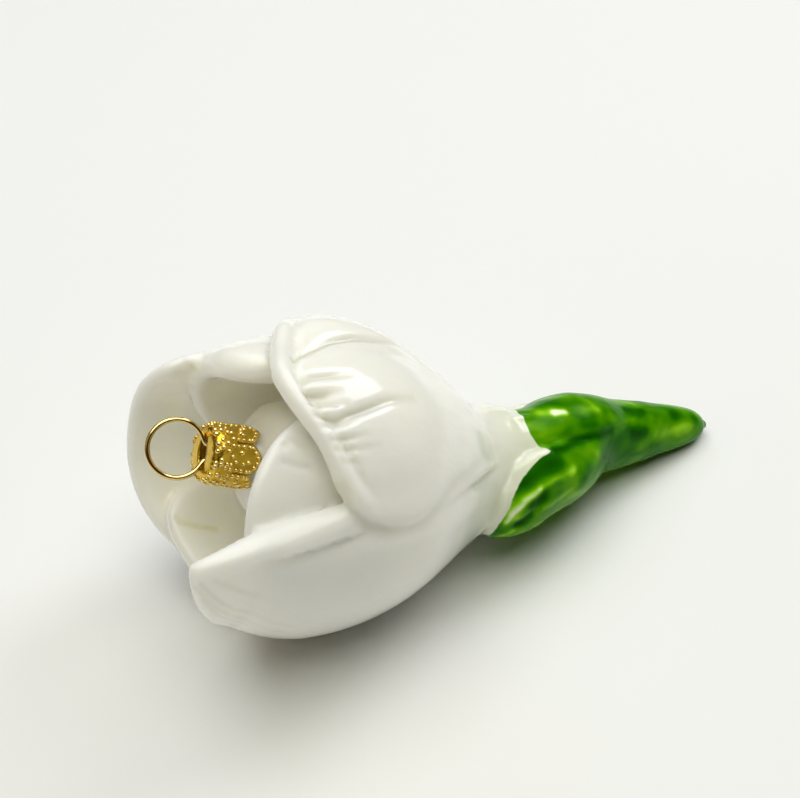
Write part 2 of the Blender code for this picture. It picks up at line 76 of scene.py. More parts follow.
# How the petals are formed, in millimetres unless said
FOOT_CURVE = 1.7       # power of a petal's narrowing toward its base
TIP_TURN = 12.0        # a petal curves inward over this length before its tip
ROOT_DEPTH = 2.0       # a petal's base lies this far under the body's face
TUCK_SPAN = (0.15, 0.7)    # shares of the half width: where a side starts to tuck in, and over how much
# Where a petal swells: shares of its low side, shares before its edge, and heights, each (from, over)
SWELL_SIDE, SWELL_EDGE, SWELL_HEIGHT = (0.2, 0.25), (0.98, 0.2), (66.0, 22.0)
LIP_SPAN = (5.0, 7.0)      # above the widest place, where the rolled lip starts and over what it grows
LIP_WIDTH, LIP_FADE = 0.6, 0.45    # the roll's half width as a share of the lip, its fade to the side
SEAM_WIDTH, SEAM_PLACE = 0.7, 1.15     # the furrow under the lip, its place as a share of the lip
FLARE_SPAN = 8.0       # a flared rim opens over this height above the widest place
CURL_WIDTH, CURL_FULL, CURL_RISE = 14.0, 0.6, 10.0
DIP_PLACE, DIP_SPAN = 0.48, 0.25       # shares of the half width
EDGE_LEAST = 0.15      # share of a petal's thickness left at its rim
LEVEL_LEAST = 0.05     # keeps the distance to the rim finite at a petal's middle
GRID_REACH = 0.995     # the grid stops this short of a petal's sides, where its points would meet
BOWL_WIDTH = 15.0      # a petal's inner face slopes in over this distance from its rim, like a bowl
PETAL_GRID, SEPAL_GRID = 110, 60

# A petal lies round "mid" and reaches "low" and "high" degrees to its sides. "base", "wide" and
# "tip" are heights, "square" is how square each side's outline is, and "foot" is how wide its base is.
# "radius" is the tip's, "rise" lifts the petal off the body, and "spring" is the share of its length
# over which it leaves the body. "tuck" and "curl" draw each side in, along the petal and at its rim.
# "lip" is the width of the rolled rim, "roll" its height, "seam" the furrow's depth under it, and
# "lip_end" the share where it ends. "flare" opens the rim over "flare_width", "swell" raises the low
# side, "dip" takes that much off the end beside its middle, "bowl" hollows the inner face and "thick"
# is the thickness.
PLAIN = dict(foot=0.5, spring=0.2, tuck=(0.0, 0.0), curl=(0.0, 0.0), lip=0.0, roll=0.0, seam=0.0,
             flare=0.0, flare_width=5.0, swell=0.0, lip_end=2.0, dip=0.0, bowl=0.0)
PETALS = {
    "front": dict(PLAIN, mid=84.5, low=25.5, high=103.5, base=57, wide=90, tip=126.2, square=(1.37, 1.42),
                  foot=0.3, spring=0.35, radius=23.8, rise=1.1, tuck=(1.0, 0.0), curl=(1.5, 2.5), thick=3.2,
                  lip=5.0, roll=1.1, seam=1.1, lip_end=0.1),
    "far": dict(PLAIN, mid=262, low=80, high=56, base=57, wide=88, tip=119.8, square=(2.2, 7.0),
                foot=0.3, spring=0.5, radius=24.4, rise=0.4, tuck=(1.5, 2.6), thick=2.6, flare=0.5,
                bowl=2.6),
    "top": dict(PLAIN, mid=12, low=66, high=64, base=58.5, wide=89, tip=109.4, square=(1.3, 1.95),
                spring=0.3, radius=27.3, rise=0.6, curl=(2.0, 0.0), thick=3.4, lip=3.4, roll=0.6, seam=0.9,
                swell=2.2, dip=2.3),
    "inner near": dict(PLAIN, mid=74, low=54, high=36, base=84, wide=97, tip=116.1, square=(2.1, 2.4),
                       foot=0.95, radius=20.9, rise=-4.4, thick=2.4),
    "inner far": dict(PLAIN, mid=318, low=62, high=44, base=84, wide=94, tip=112.6, square=(2.3, 3.2),
                      foot=0.95, radius=22.8, rise=-1.3, tuck=(3.2, 0.5), thick=5.0, bowl=1.5),
    "inner under": dict(PLAIN, mid=214, low=60, high=25, base=84, wide=98, tip=114.4, square=(1.7, 2.4),
                        foot=0.95, radius=21.2, rise=-2.6, thick=4.0, flare=0.5),
}
SEPALS = {
    "top sepal": dict(PLAIN, mid=14, low=60, high=42, base=20, wide=45, tip=56.5, square=(1.8, 3.2),
                      foot=0.5, spring=0.33, radius=11.2, rise=0.8, tuck=(0.6, 0.0), thick=3.0),
    "near sepal": dict(PLAIN, mid=92, low=44, high=85, base=25, wide=48, tip=64.0, square=(2.6, 1.6),
                       foot=0.6, spring=0.5, radius=13.6, rise=5.1, tuck=(3.0, 5.2), thick=3.0),
    "far sepal": dict(PLAIN, mid=236, low=60, high=60, base=28, wide=44, tip=62.5, square=(1.9, 2.0),
                      foot=0.35, spring=0.4, radius=13.0, rise=2.6, tuck=(1.0, 1.5), thick=3.0),
}
SEPAL_ROOT, SEPAL_LEAST = 3.5, 0.5     # a sepal reaches this far into the body and is never thinner
# Between these heights the sepals' roots melt into the stem, which regains what that takes off it
ROOTS, ROOTS_SPAN, ROOTS_REGAIN = (12.0, 42.0), 6.0, 0.7
SOFTEN_SKIN, MELT_ROOTS = 3, 180       # how many times the points are smoothed
# The green lacquer ends inside these outlines, a little short of the sepals' rims
PAINTED = {
    "top sepal": dict(mid=14, low=60, high=43, wide=44, tip=52.8, square=(1.8, 3.6)),
    "near sepal": dict(mid=105, low=55, high=60, wide=44, tip=62.0, square=(2.4, 1.8)),
    "far sepal": dict(mid=236, low=60, high=42, wide=44, tip=57.0, square=(1.9, 2.0)),
}
GREEN_BELOW = 41.0
VOXEL = 0.54           # fineness of the skin that fuses the pieces
# Relief works on the outer faces: points less than OUTER_DEPTH under the body's face, over a span
OUTER_DEPTH, OUTER_SPAN = 1.6, 0.8
# The mouth's painted glow, a lighter cream on its inside faces, lies this far inside the body's face and
# starts at a height, each with a span
MOUTH_INSIDE, MOUTH_FADE, MOUTH_FROM, MOUTH_RISE = 1.5, 3.0, 88.0, 8.0

# Hollows that the mould left: (height, angle, depth, span along the flower, span in degrees)
DENTS = [(49.0, 318.0, 2.8, 6.5, 45.0), (43.0, 130.0, 1.9, 11.0, 36.0)]

# Creases pressed by the mould on the outer faces: a route of (height, angle), the groove's half
# width and its depth, which is negative for a raised line
CREASES = [
    ([(104.0, 4.0), (102.1, 2.6), (96.1, -3.8), (90.8, -6.7), (86.1, -8.0), (81.4, -10.1), (75.8, -10.6)],
     0.8, 0.65),
    ([(104.7, 16.3), (103.1, 15.6), (96.0, 14.6)], 0.7, 0.6),
    ([(105.2, 22.0), (102.8, 23.0), (99.8, 22.4)], 0.9, 0.9),
    ([(105.2, 26.0), (101.8, 26.6), (99.0, 27.2)], 0.7, 0.7),
    ([(104.5, 30.5), (101.0, 32.5), (99.9, 31.4), (96.3, 30.0), (90.5, 26.0), (84.6, 24.6)], 0.9, 0.75),
    ([(104.0, 35.0), (101.6, 34.5), (98.5, 33.5)], 0.6, 0.5),
    ([(103.2, 39.5), (99.8, 39.5), (96.5, 38.6)], 0.6, 0.45),
    ([(102.8, 43.2), (98.1, 43.5), (95.0, 42.8)], 0.6, 0.35),
    ([(102.0, 47.2), (98.0, 48.0)], 0.6, 0.3),
    ([(104.5, 19.5), (102.5, 19.5), (98.0, 18.8)], 1.0, -0.35),
    ([(104.3, 28.6), (101.5, 29.6), (98.0, 29.0)], 0.9, -0.35),
    ([(103.3, 37.2), (100.2, 37.0), (97.0, 36.0)], 0.9, -0.3),
    ([(102.5, 56.2), (100.4, 63.6), (97.9, 69.4), (93.6, 72.9), (89.0, 74.0), (86.1, 73.3), (82.3, 68.0),
      (78.8, 61.5), (73.6, 56.4), (69.5, 50.8), (63.1, 38.7)], 1.3, 0.5),
    ([(99.0, 62.0), (94.5, 66.5), (90.0, 68.5), (86.5, 67.5), (83.5, 63.5), (80.0, 57.5), (75.0, 51.5)],
     2.6, -0.5),
    ([(124.8, 93.0), (120.1, 104.5), (113.5, 116.0), (107.3, 122.0)], 0.5, 0.3),
    ([(124.4, 89.8), (119.6, 101.0), (112.6, 110.0), (106.2, 116.3)], 0.5, 0.3),
    ([(123.2, 99.0), (119.0, 111.0), (113.0, 121.0)], 0.45, 0.25),
    ([(122.5, 87.5), (117.0, 94.5), (110.5, 100.5)], 0.5, 0.2),
    ([(49.5, 52.0), (47.0, 54.0), (42.6, 50.5), (36.7, 48.3), (32.1, 45.2)], 0.9, 0.5),
    ([(51.6, 13.0), (55.5, 9.0), (56.4, 14.0), (56.5, 24.0), (56.0, 35.0)], 0.9, -0.5),
    ([(64.0, 110.0), (63.2, 93.0), (62.0, 75.0), (59.5, 58.5), (56.4, 49.0), (53.6, 49.7), (49.4, 54.0)],
     1.0, -0.5),
    ([(61.2, 94.5), (60.3, 85.7), (58.4, 78.6), (55.3, 73.5), (50.9, 71.2), (45.5, 70.8)], 0.9, -0.5),
    ([(58.2, 98.9), (56.4, 92.0), (54.5, 80.5), (51.0, 77.0)], 0.8, 0.45),
]
# The same inside the mouth, where a route also gives the radius: (height, angle, radius)
FOLDS = [
    ([(113.0, 216.0, 18.4), (112.6, 214.1, 18.3), (109.7, 210.7, 18.8), (105.3, 208.7, 19.6)], 0.6, 0.45),
    ([(101.1, 227.1, 19.9), (100.3, 222.8, 19.9), (99.7, 217.1, 19.9)], 0.7, -0.6),
    ([(114.8, 315.0, 22.2), (113.7, 314.3, 21.1), (112.6, 313.4, 20.3)], 0.5, 0.4),
    ([(112.1, 302.5, 19.5), (112.2, 317.5, 19.2), (112.0, 337.8, 19.8)], 0.7, -0.3),
    ([(102.5, 278.4, 17.6), (100.6, 280.9, 18.0), (98.1, 281.8, 18.1)], 0.6, -0.3),
    ([(104.9, 318.2, 10.4), (104.3, 328.9, 11.4), (104.0, 339.7, 11.9)], 0.5, -0.3),
    ([(109.6, 43.8, 21.6), (107.5, 46.1, 21.8), (105.8, 47.4, 21.8)], 0.6, -0.45),
    ([(109.0, 37.0, 21.7), (107.4, 34.7, 21.8), (106.3, 38.6, 21.8)], 0.6, -0.35),
]
# Where the green is painted lighter, or darker when negative: route, half width, share.
# Light ones are partly a thinner lacquer, partly painted glints; dark ones are partly pooled lacquer,
# partly painted shade in the channel between the sepals
PATCHES = [
    ([(47.8, 11.2), (46.0, 14.5)], 1.5, 0.6), ([(45.2, 15.8), (42.9, 17.4)], 0.9, 1.2),
    ([(38.1, 18.2), (34.3, 19.1)], 1.2, 0.5),
    ([(52.5, 24.0), (51.0, 32.0), (49.2, 41.0), (47.0, 46.0)], 2.8, 0.45),
    ([(61.0, 94.5), (60.3, 86.5), (58.4, 79.5), (55.3, 74.5)], 0.7, 0.8),
    ([(54.7, 73.1), (50.9, 71.2), (45.5, 70.8)], 0.6, 0.5), ([(60.1, 112.6), (58.5, 105.0)], 0.7, 0.6),
    ([(45.1, 80.7), (49.0, 86.4), (53.5, 88.5)], 0.6, 0.35),
    ([(17.9, 66.2), (12.9, 58.8), (7.1, 54.3)], 1.7, 0.4),
    ([(49.5, 52.0), (47.0, 54.0), (42.6, 49.9), (36.7, 48.3), (32.1, 45.2)], 0.8, -0.7),
    ([(24.8, 55.3), (21.5, 55.9)], 1.5, -0.8), ([(24.8, 16.6), (20.5, 18.7)], 1.4, -0.6),
    ([(11.0, 23.0), (6.0, 31.0)], 1.8, -0.7), ([(39.4, 29.2), (36.5, 25.2)], 1.5, -0.4),
    ([(56.5, 82.8), (54.0, 79.1)], 1.0, -0.8), ([(58.4, 98.9), (56.2, 92.0)], 0.8, -0.9),
    ([(59.5, 71.6), (54.0, 61.5), (49.0, 62.0)], 1.4, -0.35),
    ([(60.8, 88.0), (58.2, 78.0), (55.2, 74.0), (51.2, 73.0), (47.0, 71.5)], 1.4, 0.17),
    ([(60.6, 99.0), (59.0, 93.0)], 1.0, 0.35), ([(58.0, 67.0), (52.0, 78.0)], 4.5, 0.08),
]
FADE_FROM, FADE_TO = 0.35, 0.25    # past this share of its route a crease fades, down to this share


def ramp(x):
    """0 below 0, 1 above 1 and a smooth ramp between."""
    x = np.clip(x, 0.0, 1.0)
    return x * x * (3 - 2 * x)


def body_radius(height):
    """Radius of the petals' outer faces, a smooth curve through the BODY points."""
    known = np.array([h for h, _ in BODY])
    radii = np.array([r for _, r in BODY])
    height = np.clip(height, known[0], known[-1])
    k = np.clip(np.searchsorted(known, height, side="right") - 1, 0, len(BODY) - 2)
    before = np.maximum(np.arange(len(BODY)) - 1, 0)
    after = np.minimum(np.arange(len(BODY)) + 1, len(BODY) - 1)
    slopes = (radii[after] - radii[before]) / (known[after] - known[before])
    step = known[k + 1] - known[k]
    t = (height - known[k]) / step
    return ((2 * t**3 - 3 * t**2 + 1) * radii[k] + (t**3 - 2 * t**2 + t) * step * slopes[k]
            + (3 * t**2 - 2 * t**3) * radii[k + 1] + (t**3 - t**2) * step * slopes[k + 1])


def axis_shift(height):
    """How far the axis strays from straight, as two arrays: upward and to the far side."""
    bend = STEM_BEND * np.sin(np.clip((BEND_FROM - height) / BEND_FROM, 0.0, 1.0) * math.pi / 2)
    lift = STEM_LIFT * np.exp(-((height - LIFT_HEIGHT) / LIFT_SPAN) ** 2)
    sag = WAIST_SAG * np.exp(-((height - WAIST) / WAIST_SPAN) ** 2)
    return lift - sag, bend - 0.5 * sag


def flower_points(angle, height, radius):
    """Points of the flower in metres along its own axes."""
    a = np.radians(angle)
    up, across = axis_shift(height)
    return np.stack([up + radius * np.cos(a), across - radius * np.sin(a), height], axis=-1) * MM


def flower_place(points):
    """The opposite of flower_points: angle, height and radius in degrees and millimetres."""
    height = points[:, 2] / MM
    up, across = axis_shift(height)
    x, y = points[:, 0] / MM - up, points[:, 1] / MM - across
    return np.degrees(np.arctan2(-y, x)) % 360, height, np.hypot(x, y)


def petal_place(petal, s, t):
    """Angle, height and distance to the rim of the petal's points (s, t)."""
    square = np.where(s < 0, *petal["square"])
    along = tip_length(petal, s)
    end = petal["wide"] + along * (1 - np.abs(s) ** square) ** (1 / square)
    height = petal["base"] + t * (end - petal["base"])
    below = np.maximum(petal["wide"] - height, 0.0) / (petal["wide"] - petal["base"])
    narrowing = 1 - (1 - petal["foot"]) * below**FOOT_CURVE
    reach = np.where(s < 0, petal["low"], petal["high"])
    angle = petal["mid"] + s * reach * narrowing
    return angle, height, rim_distance(petal, s, height, reach, square)


def tip_length(petal, s):
    """From the petal's widest place to its tip; beside the middle it is shorter where the rim dips."""
    return petal["tip"] - petal["wide"] - petal.get("dip", 0.0) * np.exp(-((s - DIP_PLACE) / DIP_SPAN) ** 2)


def rim_distance(petal, s, height, reach, square):
    """Distance in millimetres from the petal's outline, positive inside it."""
    along = tip_length(petal, s)
    across = np.radians(reach) * body_radius(height)
    up = np.maximum(height - petal["wide"], 0.0) / along
    level = np.maximum((np.abs(s) ** square + up**square) ** (1 / square), LEVEL_LEAST)
    slope = np.hypot((np.abs(s) / level) ** (square - 1) / across, (up / level) ** (square - 1) / along)
    return (1 - level) / slope


def edge_share(petal, rim):
    """Share of the petal's thickness near its half-round rim."""
    inside = np.clip(rim / (petal["thick"] / 2), 0.0, 1.0)
    return np.maximum(np.sqrt(1 - (1 - inside) ** 2), EDGE_LEAST)


def petal_radius(petal, s, t, height, rim):
    """Outer radius of the petal's face."""
    rim = np.maximum(rim, 0.0)
    turn = petal["tip"] - TIP_TURN
    over = np.maximum(height - turn, 0.0) / TIP_TURN
    rise = petal["rise"]
    rise = rise - np.where(s < 0, *petal["tuck"]) * ramp((np.abs(s) - TUCK_SPAN[0]) / TUCK_SPAN[1])
    swollen = ramp((-s - SWELL_SIDE[0]) / SWELL_SIDE[1]) * ramp((SWELL_EDGE[0] - np.abs(s)) / SWELL_EDGE[1])
    rise = rise + petal["swell"] * swollen * ramp((height - SWELL_HEIGHT[0]) / SWELL_HEIGHT[1])
    plain = body_radius(np.minimum(height, turn)) + rise
    radius = plain + (petal["radius"] + rise - petal["rise"] - plain) * over**2
    radius = radius - (1 - ramp(t / petal["spring"])) * (rise + ROOT_DEPTH)
    if petal["lip"]:
        upper = ramp((height - petal["wide"] - LIP_SPAN[0]) / LIP_SPAN[1])
        upper = upper * ramp((petal["lip_end"] - s) / LIP_FADE)
        bulge = 1 - ((rim / petal["lip"] - 0.5) / LIP_WIDTH) ** 2
        furrow = np.exp(-(((rim - SEAM_PLACE * petal["lip"]) / SEAM_WIDTH) ** 2))
        radius = radius + (petal["roll"] * np.maximum(bulge, 0.0) - petal["seam"] * furrow) * upper
    side = np.where(s < 0, *petal["curl"]) * ramp(np.abs(s) / CURL_FULL)
    side = side * ramp((height - petal["wide"]) / CURL_RISE)
    radius = radius - side * (1 - np.clip(rim / CURL_WIDTH, 0.0, 1.0)) ** 2
    opened = 1 - ramp(rim / petal["flare_width"])
    radius = radius + petal["flare"] * opened * ramp((height - petal["wide"]) / FLARE_SPAN)
    return radius - petal["thick"] / 2 * (1 - edge_share(petal, rim))


def new_mesh(name, points, faces):
    """A new object in the scene with a mesh of these points and faces."""
    mesh = bpy.data.meshes.new(name)
    mesh.from_pydata([tuple(p) for p in points], [], faces)
    thing = bpy.data.objects.new(name, mesh)
    bpy.context.scene.collection.objects.link(thing)
    return thing


def grid_faces(rows, columns, closed=False):
    """Quads of a grid whose points run row by row; a closed one joins its last column to its first."""
    wide = columns if closed else columns - 1
    return [(r * columns + c, r * columns + (c + 1) % columns, (r + 1) * columns + (c + 1) % columns,
             (r + 1) * columns + c) for r in range(rows - 1) for c in range(wide)]


def turned(name, outline, steps, place=None):
    """A closed body turned about +Z from (height, radius) points, lowest first."""
    rings = [(h, r) for h, r in outline if r > 0]
    turn = np.arange(steps) / steps * math.tau
    points = [Vector((r * math.cos(a), -r * math.sin(a), h)) * MM for h, r in rings for a in turn]
    faces = grid_faces(len(rings), steps, True)
    faces += [tuple(range(steps))[::-1], tuple(range((len(rings) - 1) * steps, len(rings) * steps))]
    if place:
        points = [place @ p for p in points]
    thing = new_mesh(name, points, faces)
    shape = bmesh.new()
    shape.from_mesh(thing.data)
    bmesh.ops.recalc_face_normals(shape, faces=shape.faces)
    shape.to_mesh(thing.data)
    shape.free()
    return thing


def evaluated(thing):
    """Applies the object's modifiers."""
    graph = bpy.context.evaluated_depsgraph_get()
    mesh = bpy.data.meshes.new_from_object(thing.evaluated_get(graph))
    thing.modifiers.clear()
    thing.data = mesh
    return thing


def petal_blade(name, petal, grid, solid=False):
    """A petal: an outer and an inner grid laid on the flower by formula and joined round the edge.

    A solid one, a sepal, is filled down into the body.
    """
    across = along = grid
    x, y = np.meshgrid(np.linspace(-1, 1, across), np.linspace(0, 1, along))
    s, t = np.sin(x.ravel() * math.pi / 2) * GRID_REACH, y.ravel()
    angle, height, rim = petal_place(petal, s, t)
    outer = petal_radius(petal, s, t, height, rim)
    bowl = petal["bowl"] * ramp(rim / BOWL_WIDTH)
    inner = outer - (petal["thick"] + bowl) * edge_share(petal, rim)
    if solid:
        inner = np.minimum(outer - SEPAL_LEAST, body_radius(height) - SEPAL_ROOT)
    points = np.concatenate([flower_points(angle, height, outer), flower_points(angle, height, inner)])
    sheet = grid_faces(along, across)
    count = along * across
    faces = [face[::-1] for face in sheet] + [tuple(k + count for k in face) for face in sheet]
    edge = list(range(across)) + [r * across + across - 1 for r in range(1, along)]
    edge += list(range(count - 2, count - across - 1, -1)) + [r * across for r in range(along - 2, 0, -1)]
    faces += [(a, b, b + count, a + count) for a, b in zip(edge, edge[1:] + edge[:1])]
    return new_mesh(name, points, faces)


def lying():
    """Where the flower's own axes lie in the frame."""
    lean = math.radians(LEAN)
    axis = Vector((-math.cos(lean), 0, math.sin(lean)))
    place = Matrix.Rotation(-(math.pi / 2 - lean), 4, "Y")
    place.translation = (Vector(BELLY) - axis * BELLY_HEIGHT) * MM
    return place


def neck_tilt():
    """Where the neck's own axes stand on the flower's."""
    toward, lean = math.radians(NECK_TOWARD), math.radians(NECK_LEAN)
    axis = Vector((math.cos(toward) * math.sin(lean), -math.sin(toward) * math.sin(lean), math.cos(lean)))
    place = Vector((0, 0, 1)).rotation_difference(axis).to_matrix().to_4x4()
    place.translation = (0, 0, NECK_ROOT * MM)
    return place


def straightened(angle, height, radius):
    """Places in millimetres on the flower if its axis were straight."""
    a = np.radians(angle)
    return np.stack([radius * np.cos(a), radius * np.sin(a), height], axis=-1)


def marks(places, routes, fade_to=1.0):
    """What the routes add up to at the places: the full amount on a line and less beside it."""
    total = np.zeros(len(places))
    for route, width, amount in routes:
        height, angle, *radius = np.array(route).T
        line = straightened(angle, height, radius[0] if radius else body_radius(height))
        steps = np.diff(line, axis=0)
        lengths = np.linalg.norm(steps, axis=1)
        passed = np.cumsum(lengths) - lengths
        nearest = np.full(len(places), np.inf)
        share = np.zeros(len(places))
        for start, step, length, before in zip(line, steps, lengths, passed):
            along = np.clip((places - start) @ step / length**2, 0, 1)
            distance = np.linalg.norm(places - start - along[:, None] * step, axis=1)
            share = np.where(distance < nearest, (before + along * length) / lengths.sum(), share)
            nearest = np.minimum(nearest, distance)
        fade = 1 - (1 - fade_to) * ramp((share - FADE_FROM) / (1 - FADE_FROM))
        total += amount * fade * np.exp(-((nearest / width) ** 2))
    return total


def green_field(angle, height):
    """Distance in millimetres inside the green lacquer's edge, negative on the white."""
    field = GREEN_BELOW - height
    for sepal in PAINTED.values():
        turn = (angle - sepal["mid"] + 180) % 360 - 180
        reach = np.where(turn < 0, sepal["low"], sepal["high"])
        square = np.where(turn < 0, *sepal["square"])
        inside = rim_distance(sepal, turn / reach, height, reach, square)
        field = np.maximum(field, inside)
    return field


def root_share(height):
    """How far the sepals' roots are melted into the stem at a height, from 0 to 1."""
    return ramp((height - ROOTS[0]) / ROOTS_SPAN) * ramp((ROOTS[1] - height) / ROOTS_SPAN)


def soften(thing, name, times, group=""):
    """Adds a modifier that moves the points, or those of a group, halfway to their neighbours."""
    soft = thing.modifiers.new(name, "SMOOTH")
    soft.factor = 0.5
    soft.iterations = times
    soft.vertex_group = group


def glass_flower():
    """The blown flower as one skin: every petal, the core and the mound fused and smoothed."""
    heights = list(np.linspace(CORE_FROM, FLOOR - CORE_SHORT, CORE_RINGS))
    core = [(h, float(body_radius(h) - UNDER_PETALS * ramp((h - UNDER_FROM) / UNDER_SPAN)))
            for h in heights]
    core = TIP_DROP + core + [(FLOOR + FLOOR_RIM[0], FLOOR_RIM[1]), (FLOOR, FLOOR_RADIUS)]
    body = turned("glass_flower", core, CORE_SIDES)
    co = np.array([v.co for v in body.data.vertices])
    up, across = axis_shift(co[:, 2] / MM)
    co[:, 0] += up * MM
    co[:, 1] += across * MM
    body.data.vertices.foreach_set("co", co.ravel())
    pieces = [body, turned("mound", MOUND, MOUND_SIDES, neck_tilt())]
    pieces += [petal_blade(name, petal, PETAL_GRID) for name, petal in PETALS.items()]
    pieces += [petal_blade(name, sepal, SEPAL_GRID, True) for name, sepal in SEPALS.items()]

    fused = bmesh.new()
    for piece in pieces:
        fused.from_mesh(piece.data)
    for piece in pieces[1:]:
        bpy.data.objects.remove(piece)
    fused.to_mesh(body.data)
    fused.free()
    skin = body.modifiers.new("Fuse", "REMESH")
    skin.mode = "VOXEL"
    skin.voxel_size = VOXEL * MM
    soften(body, "Soften", SOFTEN_SKIN)
    evaluated(body)
    sepal_roots = body.vertex_groups.new(name="sepal roots")
    for point in body.data.vertices:
        share = root_share(point.co.z / MM)
        if share > 0:
            sepal_roots.add([point.index], float(share), "REPLACE")
    soften(body, "Melt the sepals' roots into the stem", MELT_ROOTS, sepal_roots.name)
    evaluated(body)

    co = np.zeros(len(body.data.vertices) * 3)
    body.data.vertices.foreach_get("co", co)
    co = co.reshape(-1, 3)
    angle, height, radius = flower_place(co)
    outward = ramp((radius - body_radius(height) + OUTER_DEPTH) / OUTER_SPAN)
    on_body = straightened(angle, height, body_radius(height))
    depth = marks(on_body, CREASES, FADE_TO)
    # Painted glints and painted shade on the green, with the lacquer's thinner and thicker places
    lacquer_glint_shade = marks(on_body, PATCHES)
    # How deep the creases are, which the material paints as shade
    crease = depth * outward
    for along, turn, deep, span, spread in DENTS:
        aside = (angle - turn + 180) % 360 - 180
        depth += deep * np.exp(-(((height - along) / span) ** 2) - (aside / spread) ** 2)
    folds = marks(straightened(angle, height, radius), FOLDS)
    crease = np.clip(crease + folds, 0.0, 1.0)
    radius_new = radius - depth * outward + folds + ROOTS_REGAIN * root_share(height)
    co = flower_points(angle, height, radius_new)
    place = lying()
    world = co @ np.array(place.to_3x3()).T + np.array(place.translation)
    world[:, 2] = np.maximum(world[:, 2], 0.0)
    body.data.vertices.foreach_set("co", world.ravel())

    # The mouth's inside faces, which the material paints lighter as a glow
    mouth = ramp((body_radius(height) - MOUTH_INSIDE - radius) / MOUTH_FADE)
    mouth = mouth * ramp((height - MOUTH_FROM) / MOUTH_RISE)
    layers = {"paint": green_field(angle, height), "mouth": mouth, "lacquer_glint_shade": lacquer_glint_shade, "crease": crease}
    for name, values in layers.items():
        layer = body.data.attributes.new(name, "FLOAT", "POINT")
        layer.data.foreach_set("value", values.astype(np.float32))
    body.data.shade_smooth()
    return body


# The cap and the wire, in the neck's own axes

CAP_RADIUS, CAP_SHEET, CAP_TOP = 5.2, 0.35, 30.9
CAP_DEPTH = 8.6        # of the skirt below the disc, at the middle of a tab
# The cap's outer face: (depth below the disc, added to its radius)
CAP_SIDE = [(0.0, -1.7), (0.08, -1.2), (0.25, -0.8), (0.5, -0.45), (0.9, -0.2), (1.6, -0.05),
            (2.4, 0.0), (3.3, 0.0)]
DISC_ROWS = (0.0, 0.35, 0.7, 0.93)     # of points on the disc, from its slot (0) to its shoulder (1)
TABS, TAB_START, TAB_SLIT, SLIT_DEPTH = 6, 28.5, 0.28, 3.8
TAB_STEPS = 22         # of points across a tab
TAB_ROWS = (0.2, 0.4, 0.6, 0.8, 1.0)   # of points down a tab, from the slits' upper end to its own end
TAB_POINT = 1.6        # a tab's corners end this much above its point
TAB_SPREAD, SPREAD_POWER = 0.3, 1.5    # and its end stands out this much
SLOT_LENGTH, SLOT_WIDTH, SLOT_TURN = 6.2, 2.6, -58.0

# The beads stamped in the cap, in millimetres unless said; two numbers in brackets are a range
BEAD_SIDES = 10
BEAD_RINGS = ((-0.4, 1.1), (0.25, 0.95), (0.7, 0.6))    # (level, width) as shares of the bead's radius
BEAD_TOP = 0.85        # level of a bead's top, as a share of its radius
BEAD_SEED = 7
EDGE_BEADS, EDGE_FROM, EDGE_STEP, EDGE_CLEAR = 9, 3.2, 1.0, 0.5    # a row down each side of a tab
EDGE_INSET, EDGE_SHIFT, EDGE_SIZES = 5.5, 0.1, (0.33, 0.42)        # the inset is in degrees
END_BEADS, END_FROM, END_STEP, END_INSET = 3, 0.78, 0.3, 0.7       # a row along its pointed end
END_SIZES = (0.33, 0.4)
FACE_BEADS, FACE_WIDTH, FACE_DEPTHS, FACE_SIZES = 6, 0.5, (3.0, 6.4), (0.34, 0.5)    # and some between
SHOULDER_BEADS, SHOULDER_SHIFT = 20, 0.3
# Rows round the shoulder: degrees ahead, depth, shift, smallest and largest radius
SHOULDER_ROWS = [(0, 0.5, 0.08, 0.44, 0.56), (8, 1.4, 0.15, 0.42, 0.56), (2, 2.35, 0.2, 0.38, 0.5)]

# The wire: a ring that leans and sinks into the slot, and legs that spread inside the neck
WIRE, LOOP_RADIUS, LOOP_LEAN, LOOP_SINK = 0.92, 4.9, 18.0, 0.3
LEG_LENGTH, LEG_SPREAD, LOOP_OPENING, RING_POINTS = 14.0, 2.5, 70.0, 30
ROUTE_STEPS, WIRE_ROUND = 4, 6
# One leg from its end inside the neck up to the ring: shares of LEG_SPREAD and of LEG_LENGTH
LEG = [(1.0, -1.0), (0.98, -0.75), (0.87, -0.5), (0.7, -0.25), (0.54, -0.1), (0.6, -0.02)]


def cap_radius(depth):
    """Outer radius of the cap's side at a depth below its disc."""
    reach = np.interp(depth, [d for d, _ in CAP_SIDE], [r for _, r in CAP_SIDE])
    down = np.clip((depth - SLIT_DEPTH) / (CAP_DEPTH - SLIT_DEPTH), 0, 1)
    return CAP_RADIUS + reach + TAB_SPREAD * down**SPREAD_POWER


def cap_point(angle, depth):
    """A point on the cap's side, in millimetres along the neck's axes; angles in degrees."""
    a, radius = math.radians(angle), float(cap_radius(depth))
    return Vector((radius * math.cos(a), radius * math.sin(a), CAP_TOP - depth))


def tab_end(share):
    """Depth of a tab's pointed end, from its middle (0) to its corners (1 or -1)."""
    return CAP_DEPTH - TAB_POINT * abs(share) ** SPREAD_POWER


